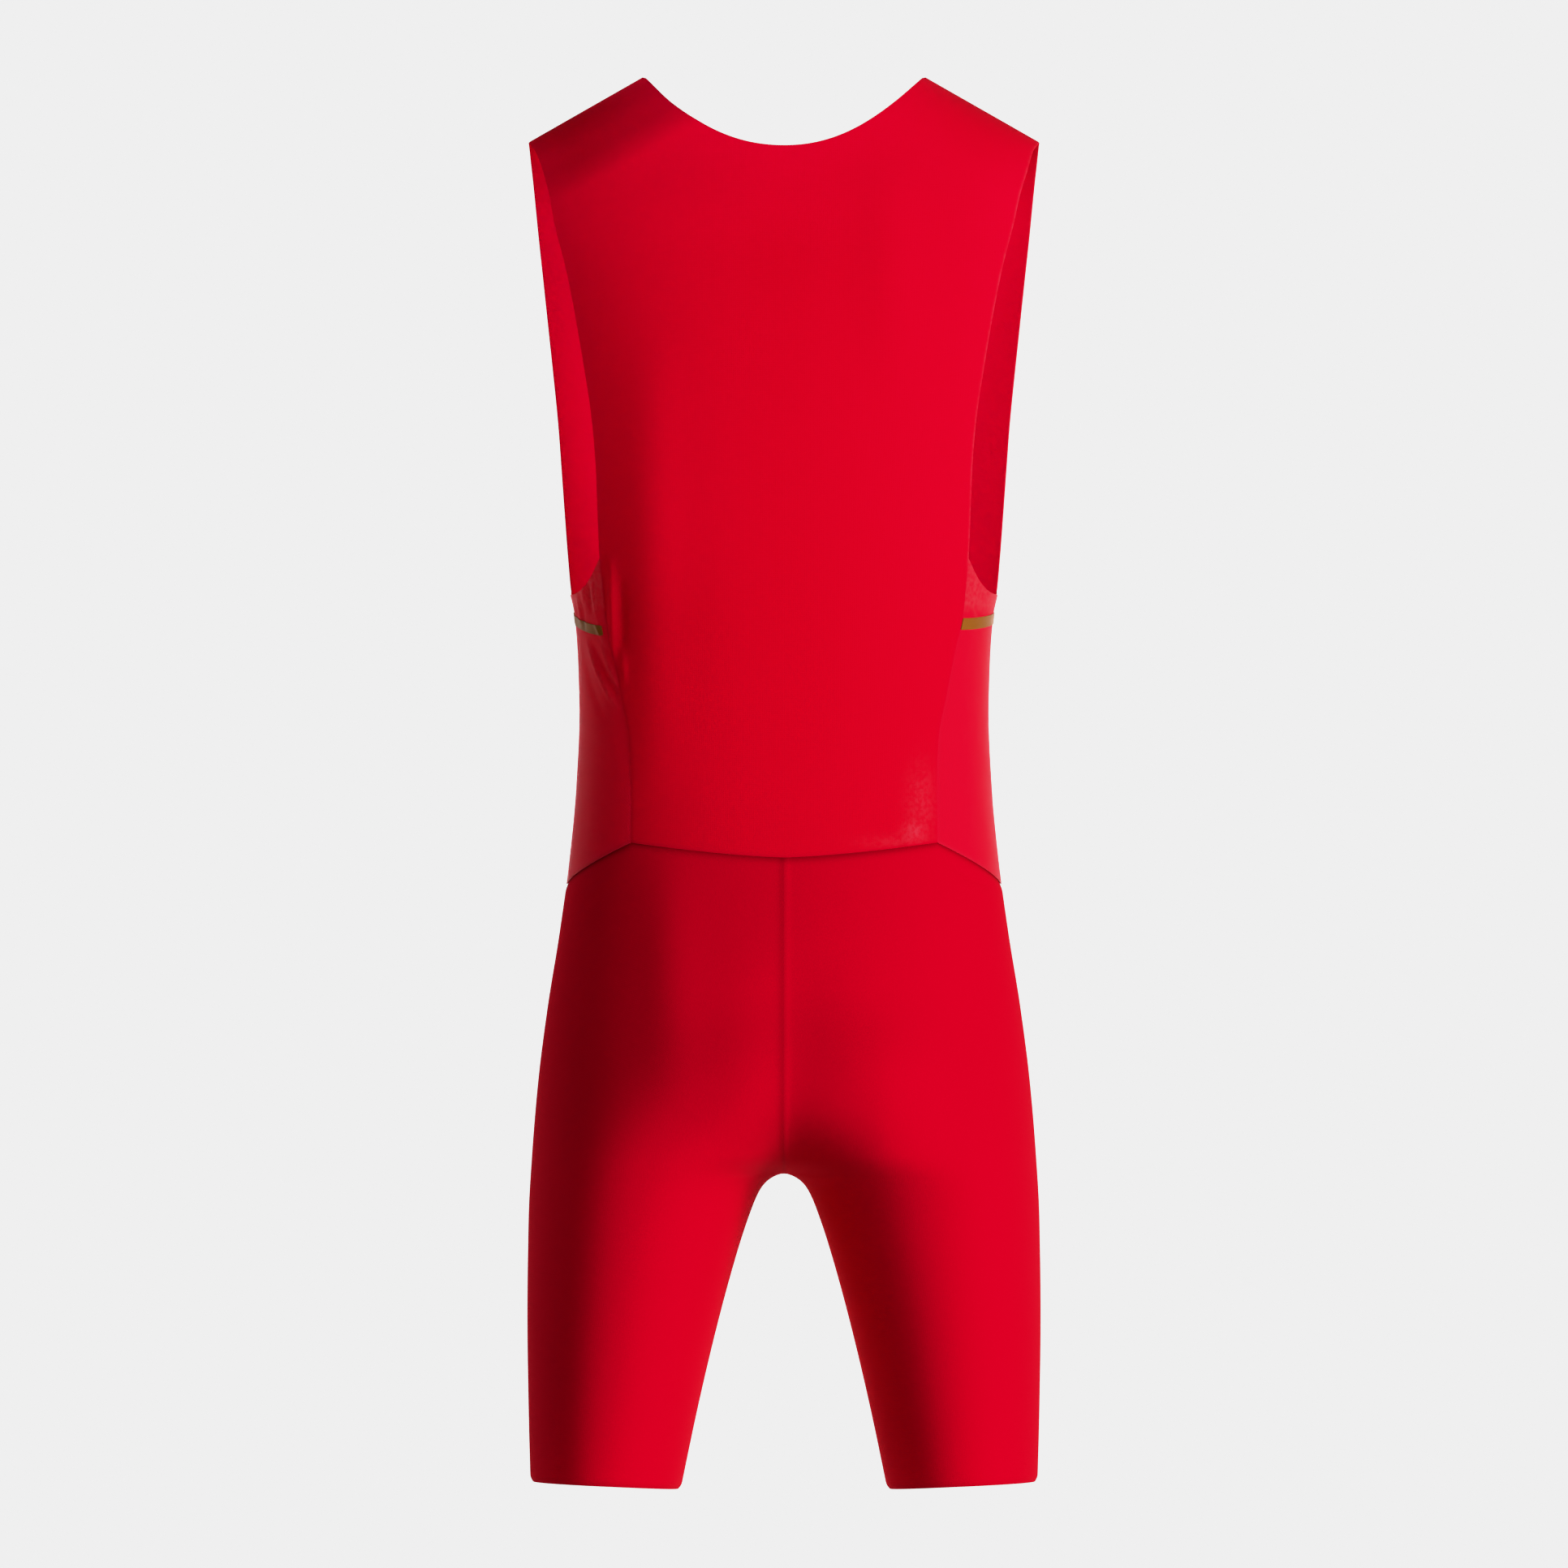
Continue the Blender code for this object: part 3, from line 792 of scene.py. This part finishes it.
FRONT_CREASES = [
    Crease(133.0, 372, 124.0, 432, -1.5, 4.5, 1.4),
    Crease(126.0, 366, 117.0, 414, -1.0, 4.0, -0.9),
    Crease(-132.0, 370, -125.0, 426, 1.5, 4.0, 1.2),
    Crease(-122.0, 384, -112.0, 446, 2.0, 5.0, 0.8),
    Crease(143.5, 250, 144.5, 268, 0.4, 2.0, 0.6),
    Crease(60.0, 541, 86.0, 524, 2.0, 5.0, 0.45),
    Crease(-58.0, 540, -88.0, 518, -2.0, 6.0, 0.5),
]
print(len(BACK_CREASES), "creases on the back and", len(FRONT_CREASES), "in front")

# %% [markdown]
# ## Bodice panels
# The back is cut in one from shoulder to waist, and so is the front. Seen flat, each is a tall
# trapezium with a scooped neck and deep armholes. A column of the grid runs up the panel at a
# constant share of its width, so the side columns follow the armhole and the side seam.

# %% Bodice grid
BODICE_CLOTH = 0.9
NECK_COLUMNS = 42
STRAP_COLUMNS = 34
BODICE_ROWS = 240
# Depth of the hollow in the back below its left shoulder, how far out from the centre line it
# opens, the drops over which it ends, and how far below the shoulder seam it starts
HOLLOW = 5.0
HOLLOW_OUT = (10, 105)
HOLLOW_ENDS = (45, 115)
HOLLOW_STARTS = (0, 32)
# The side seam's mark starts softly over this length below the armhole
SEAM_START = 12.0

# Places where the jersey is painted paler as a sheen, a painted highlight at the right of the small of the
# back
Patch = namedtuple("Patch", "x drop wide tall share")
PAINTED_SHEEN_PATCHES = {
    -1: [
        Patch(88.5, 523, 6.5, 6.0, 0.55),
        Patch(94.0, 502, 9.0, 22.0, 0.30),
        Patch(75.0, 530, 22.0, 4.5, 0.20),
    ],
    1: [],
}


def waist_at_centre(x):
    share = np.abs(x / WAIST_PEAK_HALF) ** WAIST_CENTRE_POWER
    return WAIST_CENTRE - (WAIST_CENTRE - WAIST_PEAK) * share


def neckline(x, facing):
    return NECK_DEPTH[facing] * (1 - (x / NECK_HALF) ** NECK_POWER[facing])


def top_of(across, facing):
    """Drop at which this column of a bodice panel ends, at the neckline or the shoulder seam."""
    low, high = 0.0, UNDERARM[facing]
    for _ in range(50):
        drop = (low + high) / 2
        x = across * panel_edge(facing, drop)
        ends = neckline(x, facing) if x < NECK_HALF else (x - NECK_HALF) * SHOULDER_SLOPE
        low, high = (drop, high) if drop < ends else (low, drop)
    return (low + high) / 2


def bodice_column(across, facing):
    """One column from waist to top, its points closest at the waist seam and over the arch."""
    bottom = waist_at_centre(across * WAIST_PEAK_HALF)
    top = top_of(abs(across), facing)
    drops = top + (bottom - top) * (1 + np.cos(np.linspace(0, np.pi, BODICE_ROWS))) / 2
    x = across * panel_edge(facing, drops)
    return np.stack([x, figure_depth(x, drops, facing), NECK_POINT_Z - drops], axis=-1)


def shoulder_hollow(x, drop):
    """How far the back sinks below its left shoulder, where the cloth hangs a little slack."""
    below_ridge = drop - (np.abs(x) - NECK_HALF) * SHOULDER_SLOPE
    opened = HOLLOW * rises(-x, *HOLLOW_OUT) * (1 - rises(drop, *HOLLOW_ENDS))
    return opened * rises(below_ridge, *HOLLOW_STARTS)


def bodice_grid(facing, table):
    neck = NECK_HALF / SHOULDER_HALF
    inner = np.linspace(0, neck, NECK_COLUMNS)
    outer = neck + (1 - neck) * np.sin(np.linspace(0, np.pi / 2, STRAP_COLUMNS))
    half = np.concatenate([inner, outer[1:]])
    across = np.concatenate([-half[:0:-1], half])
    grid = np.stack([bodice_column(place, facing) for place in across], axis=1)
    grid = drawn_in(grid, BODICE_CLOTH / 2 - EDGE_SPARE, SEWN_IN)
    below, _, left, right = edge_distances(grid)
    drop = NECK_POINT_Z - grid[..., 2]
    seamed = np.clip((drop - UNDERARM[facing]) / SEAM_START, 0, 1)
    relief = creases(grid[..., 0], drop, table)
    if facing < 0:
        relief -= shoulder_hollow(grid[..., 0], drop)
    relief -= SEAM_SINK * seamed * beside(left, right, SEAM_FLANK)
    # Painted shade along the side seams and along the bottom edge at the waist seam
    seam = SIDE_SEAM_SHADE * seamed * beside(left, right, SEAM_REACH) + near(below, 1.0)
    # The turned edge of the right armhole catches the key lamp
    pale = 0.5 * (1 - seamed) * near(right, 0.9)
    # Painted sheen: soft pale patches on the small of the back
    for patch in PAINTED_SHEEN_PATCHES[facing]:
        across, down = (grid[..., 0] - patch.x) / patch.wide, (drop - patch.drop) / patch.tall
        pale += patch.share * near(np.hypot(across, down), 1)
    return grid, relief, flat_places(left, below), seam, pale


def make_bodice(name, facing, table):
    grid, relief, flat, seam, pale = bodice_grid(facing, table)
    return cloth_piece(name, grid, relief, BODICE_CLOTH, bodice_jersey, flat, seam=seam, pale=pale)


back = make_bodice("back_bodice_cloth", -1, BACK_CREASES)
front = make_bodice("front_bodice_cloth", 1, FRONT_CREASES)

# %% [markdown]
# ## Side panels
# Each side panel fills the gap between back and front under the arm. Its top is the bottom of
# the armhole, a deep curve that turns up at both seams, and it ends in a point-down curve at
# the waist. The mesh is slack just under the armhole, so it puckers there, more on the left.

# %% Side panel grid
MESH_CLOTH = 0.8
SIDE_COLUMNS = 61
SIDE_ROWS = 120
SIDE_HALF = 60.0
# Drops between which the slack mesh at the armhole, painted paler as a sheen, passes into the taut mesh
# below the tape
TAPE_ZONE = (366, 374)

Stripe = namedtuple("Stripe", "name side at_back at_side at_front width back_end")
STRIPES = [
    Stripe("left", -1, 385.4, 374.8, 380.0, 7.0, -0.92),
    Stripe("right", 1, 380.5, 375.3, 380.0, 8.0, -1.0),
]
SIDE_CREASES = {
    "left": [
        Crease(-51, 351, -52, 376, 0.5, 2.0, 1.5),
        Crease(-46, 350, -46, 374, 0.5, 2.2, -1.5),
        Crease(-39, 352, -37, 370, 0.0, 2.0, 0.7),
        Crease(-28, 360, -27, 380, 0.0, 2.2, 1.3),
        Crease(-34, 364, -33, 388, 0.0, 2.0, -0.8),
        Crease(-15, 366, -14, 386, 0.0, 2.6, 0.7),
        Crease(-49, 380, -59, 400, 0.0, 1.8, 1.3),
        Crease(-50, 394, -61, 428, 0.5, 1.9, 1.4),
        Crease(-33, 390, -57, 441, 1.0, 2.2, 1.7),
        Crease(-40, 390, -60, 434, 1.0, 2.0, -1.1),
        Crease(-24, 394, -49, 452, 2.0, 3.6, -0.9),
        Crease(40, 360, 44, 392, 1.0, 3.0, 0.8),
        Crease(30, 390, 52, 440, -2.0, 3.5, 0.8),
    ],
    "right": [
        Crease(-52, 370, -44, 377, 0.5, 1.8, 0.5),
        Crease(-54, 384, -40, 382, 0.0, 1.8, 0.4),
        Crease(36, 362, 44, 396, 1.0, 3.0, 0.6),
        Crease(28, 396, 50, 446, -2.0, 3.6, 0.7),
    ],
}


def waist_at_side(share):
    return WAIST_SIDE - (WAIST_SIDE - WAIST_PEAK) * np.abs(share) ** WAIST_SIDE_POWER


def side_turn(share, drop):
    edge = np.where(share > 0, turn_at(panel_edge(1, drop), drop), turn_at(panel_edge(-1, drop), drop))
    return share * edge


def armhole_at(share):
    corner = np.where(share > 0, UNDERARM[1], UNDERARM[-1])
    return ARMHOLE_BOTTOM - (ARMHOLE_BOTTOM - corner) * np.abs(share) ** ARMHOLE_POWER


def sided(grid, side):
    """The grid as it is on the right, or mirrored to the left."""
    return grid * np.array([side, 1, 1])


def mesh_puckers(stripe, share, grid, left, right):
    """Height of the mesh's puckers, which die out at the seams."""
    height = creases(share[None, :] * SIDE_HALF, NECK_POINT_Z - grid[..., 2], SIDE_CREASES[stripe.name])
    return height * (1 - near(left, 2)) * (1 - near(right, 2))


def side_grid(stripe):
    share = 2 * stations(SIDE_COLUMNS) - 1
    top, bottom = armhole_at(share), waist_at_side(share)
    drops = bottom + (top - bottom) * stations(SIDE_ROWS)[:, None]
    grid = figure_round(side_turn(share[None, :], drops), drops)
    grid = drawn_in(grid, MESH_CLOTH / 2 - EDGE_SPARE, SEWN_IN)
    below, _, left, right = edge_distances(grid)
    pucker = mesh_puckers(stripe, share, grid, left, right)
    relief = pucker - SEAM_SINK * beside(left, right, SEAM_FLANK)
    # Painted shade along both seams and the bottom edge
    seam = SIDE_SEAM_SHADE * beside(left, right, SEAM_REACH) + near(below, 1.2)
    # Painted highlight on the pucker ridges, and painted sheen on the slack mesh above the tape
    pale = 0.6 * np.clip(pucker, 0, 1) + 0.8 * (1 - rises(NECK_POINT_Z - grid[..., 2], *TAPE_ZONE))
    return sided(grid, stripe.side), relief, flat_places(left, below), seam, pale


side_cloth = {}
for stripe in STRIPES:
    grid, relief, flat, seam, pale = side_grid(stripe)
    side_cloth[stripe.name] = cloth_piece(
        f"side_mesh_{stripe.name}", grid, relief, MESH_CLOTH, side_mesh, flat, seam=seam, pale=pale
    )

# %% [markdown]
# ## Gold tapes
# A flat woven tape is sewn across each side panel, from seam to seam. It lies on the mesh and
# goes with its puckers, so its grid is the panel's own surface moved out by its thickness. On
# the left it droops to the back seam and is lumpy, and on the right it lies almost straight.

# %% Tape grid
TAPE_CLOTH = 0.6
# Its under face stays this far off the mesh
TAPE_CLEAR = 0.05
TAPE_ROWS = 11


def tape_grid(stripe):
    share = stripe.back_end + (1 - stripe.back_end) * stations(SIDE_COLUMNS)
    end = np.where(share > 0, stripe.at_front, stripe.at_back)
    # Behind, the droop starts at once and levels out at the seam, and the hypot rounds its start
    sag = np.where(share > 0, share**2, 1 - (1 - (np.hypot(share, 0.1) - 0.1) / 0.905) ** 1.5)
    centre = stripe.at_side + (end - stripe.at_side) * sag
    drops = centre + stripe.width * (0.5 - stations(TAPE_ROWS, 0.3)[:, None])
    grid = drawn_in(figure_round(side_turn(share[None, :], drops), drops), TAPE_CLOTH / 2, TAPE_CLOTH / 2)
    below, _, left, right = edge_distances(grid)
    pucker = mesh_puckers(stripe, share, grid, left, right)
    relief = pucker + TAPE_CLOTH + TAPE_CLEAR
    # Painted shade in the troughs of the puckers
    trough_shade = 0.8 * np.clip(-pucker, 0, 1)
    return sided(grid, stripe.side), relief, np.stack([left, below], axis=-1), trough_shade


tapes = {}
for stripe in STRIPES:
    grid, relief, flat, trough_shade = tape_grid(stripe)
    tapes[stripe.name] = cloth_piece(
        f"side_tape_{stripe.name}", grid, relief, TAPE_CLOTH, gold_tape, flat, seam=trough_shade
    )

# %% [markdown]
# ## Legs
# Each leg is one piece of jersey that goes round the thigh and up over half the seat, with its
# two long edges sewn to each other down the inner leg and to the other leg's at the centre.
# The hem is turned in, so its last few millimetres roll inwards.

# %% Leg grid
LEG_CLOTH = 1.1
CENTRE_COLUMNS = 46
OUTER_COLUMNS = 34
LEG_ROWS = 190
# Points of the fine line on which a column's rows are spaced by length
DENSE = 500
HEM_ROLL = 5.0
HEM_TUCK = 1.6
# The top runs this far up under the bodice and the side panels, and sinks behind them, and over the reach
# below them it is darkened with a painted shadow
LAP = 1.4
WAIST_SINK = 1.15
WAIST_REACH = 3.6
# The seams at the centre stand up down to these drops, and from the next the inseam lies sunk
CENTRE_RIDGE = 0.55
RIDGE_ENDS = (735, 755)
INSEAM_SINK = 0.3
SINK_STARTS = (775, 800)
# Width of the seams' relief, and the reach and strength of their painted shade
LEG_SEAM_FLANK = 2.8
LEG_SEAM_REACH = 2.0
LEG_SEAM_SHADE = 0.3
# Drops of the seat's upper and lower part, and heights of the drape over them
UPPER_SEAT = (590, 640, 680, 720)
LOWER_SEAT = (630, 690, 740, 768)
SEAT_PULL = 8.5
SEAT_BRIDGE = 1.2
SEAT_DIP = 2.8
SEAT_CREASES = [
    Crease(-80.0, 530, -74.0, 716, 0.0, 20.0, 2.4),
    Crease(100.0, 536, 150.0, 566, -1.5, 2.6, -0.45),
    Crease(112.0, 552, 148.0, 574, 1.0, 3.0, 0.3),
    Crease(-112.0, 552, -146.0, 572, 1.0, 3.5, 0.3),
]


def waist_half(facing):
    """Turn and waist drop of each column, from the centre to the side line."""
    x = WAIST_PEAK_HALF * stations(CENTRE_COLUMNS)
    inner = waist_at_centre(x)
    share = np.linspace(1, 0, OUTER_COLUMNS)[1:]
    outer = waist_at_side(share)
    turns = np.concatenate([turn_at(x, inner), share * turn_at(panel_edge(facing, outer), outer)])
    return facing * turns, np.concatenate([inner, outer])


def hem_drop(turn):
    """The hem hangs a little lower at the inner leg than at the outer, and arches between."""
    round_leg = np.abs(turn) * np.pi
    slant = (HEM_INNER - HEM_OUTER) * (1 - np.cos(round_leg)) / 2
    return HEM_OUTER + slant - HEM_ARCH * np.sin(round_leg)


def seat_form(x, y, drop):
    """Drape over the seat: the cloth pulls towards the right, so it stands off a little right
    of the seam, dips beside it, and bridges the hollow above the crotch."""
    high = between(drop, *UPPER_SEAT)
    low = between(drop, *LOWER_SEAT)
    pull = SEAT_PULL * low * (rises(x, -115, 62) - rises(x, 62, 125))
    bridge = SEAT_BRIDGE * low * near(x + 28, 24)
    dip = SEAT_DIP * high * near(x - 8, 30)
    return (pull + bridge - dip) * (y < 0)


def leg_grid(side):
    front_turns, front_drops = waist_half(1)
    back_turns, back_drops = waist_half(-1)
    turns = np.concatenate([front_turns, back_turns[::-1][1:]])
    waist = np.concatenate([front_drops, back_drops[::-1][1:]])
    columns = []
    for turn, top in zip(turns, waist):
        drops = np.linspace(hem_drop(turn), top - LAP, DENSE)
        columns.append(along(figure_round(turn, drops), stations(LEG_ROWS, 0.4)))
    grid = drawn_in(np.stack(columns, axis=1), LEG_CLOTH / 2 - EDGE_SPARE, SEWN_IN)
    below, above, left, right = edge_distances(grid)
    relief = -HEM_TUCK * np.clip(1 - below / HEM_ROLL, 0, 1) ** 2
    drop = NECK_POINT_Z - grid[..., 2]
    relief -= WAIST_SINK * near(above, WAIST_REACH)
    ridge = CENTRE_RIDGE * (1 - rises(drop, *RIDGE_ENDS)) - INSEAM_SINK * rises(drop, *SINK_STARTS)
    relief += ridge * beside(left, right, LEG_SEAM_FLANK)
    relief += seat_form(side * grid[..., 0], grid[..., 1], drop)
    relief += creases(side * grid[..., 0], drop, SEAT_CREASES) * (grid[..., 1] < 0)
    # Painted shade: the shadow under the bodice's edge at the waist, and dark lines along the sewn seams
    seam = near(above, WAIST_REACH) + LEG_SEAM_SHADE * beside(left, right, LEG_SEAM_REACH)
    return sided(grid, side), relief, flat_places(left, below), seam


legs = {}
for name, side in (("right", 1), ("left", -1)):
    grid, relief, flat, seam = leg_grid(side)
    legs[name] = cloth_piece(f"leg_cloth_{name}", grid, relief, LEG_CLOTH, short_jersey, flat, seam=seam)

# %% [markdown]
# ## What each piece stands for
# Every shell rides on the suit's one body and takes the place of its solid in the view, and the
# size it was cut to is listed with it. Stretch sportswear is cut smaller than the body, here by
# about an eighth in width and a twenty-fifth in length. Each gold tape, sewn on its panel,
# rides on the same body and takes the place of its stripe.

Cut = namedtuple("Cut", "piece node slot width length area rests_on")
CUTS = [
    Cut(back, "back_bodice", "bodice_jersey", 0.32, 0.55, 0.126, ["front_bodice_cloth"]),
    Cut(front, "front_bodice", "bodice_jersey", 0.34, 0.55, 0.134, ["back_bodice_cloth"]),
    Cut(legs["left"], "leg_left", "short_jersey", 0.53, 0.52, 0.178, ["back_bodice_cloth"]),
    Cut(legs["right"], "leg_right", "short_jersey", 0.53, 0.52, 0.178, ["back_bodice_cloth"]),
    Cut(side_cloth["left"], "side_panel_left", "side_mesh", 0.16, 0.21, 0.022, ["back_bodice_cloth"]),
    Cut(side_cloth["right"], "side_panel_right", "side_mesh", 0.16, 0.21, 0.022, ["back_bodice_cloth"]),
]
for cut in CUTS:
    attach(cut.piece, "root")
    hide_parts(cut.node)
    side = cut.node.split("_")[-1]
    outer_face = sum(face.area for face in cut.piece.data.polygons) / 2
    print(cut.node, "outer face", round(outer_face, 4), "m2, cut", cut.area, "m2")

for side, tape in tapes.items():
    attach(tape, "root")
    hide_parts(f"side_stripe_{side}")
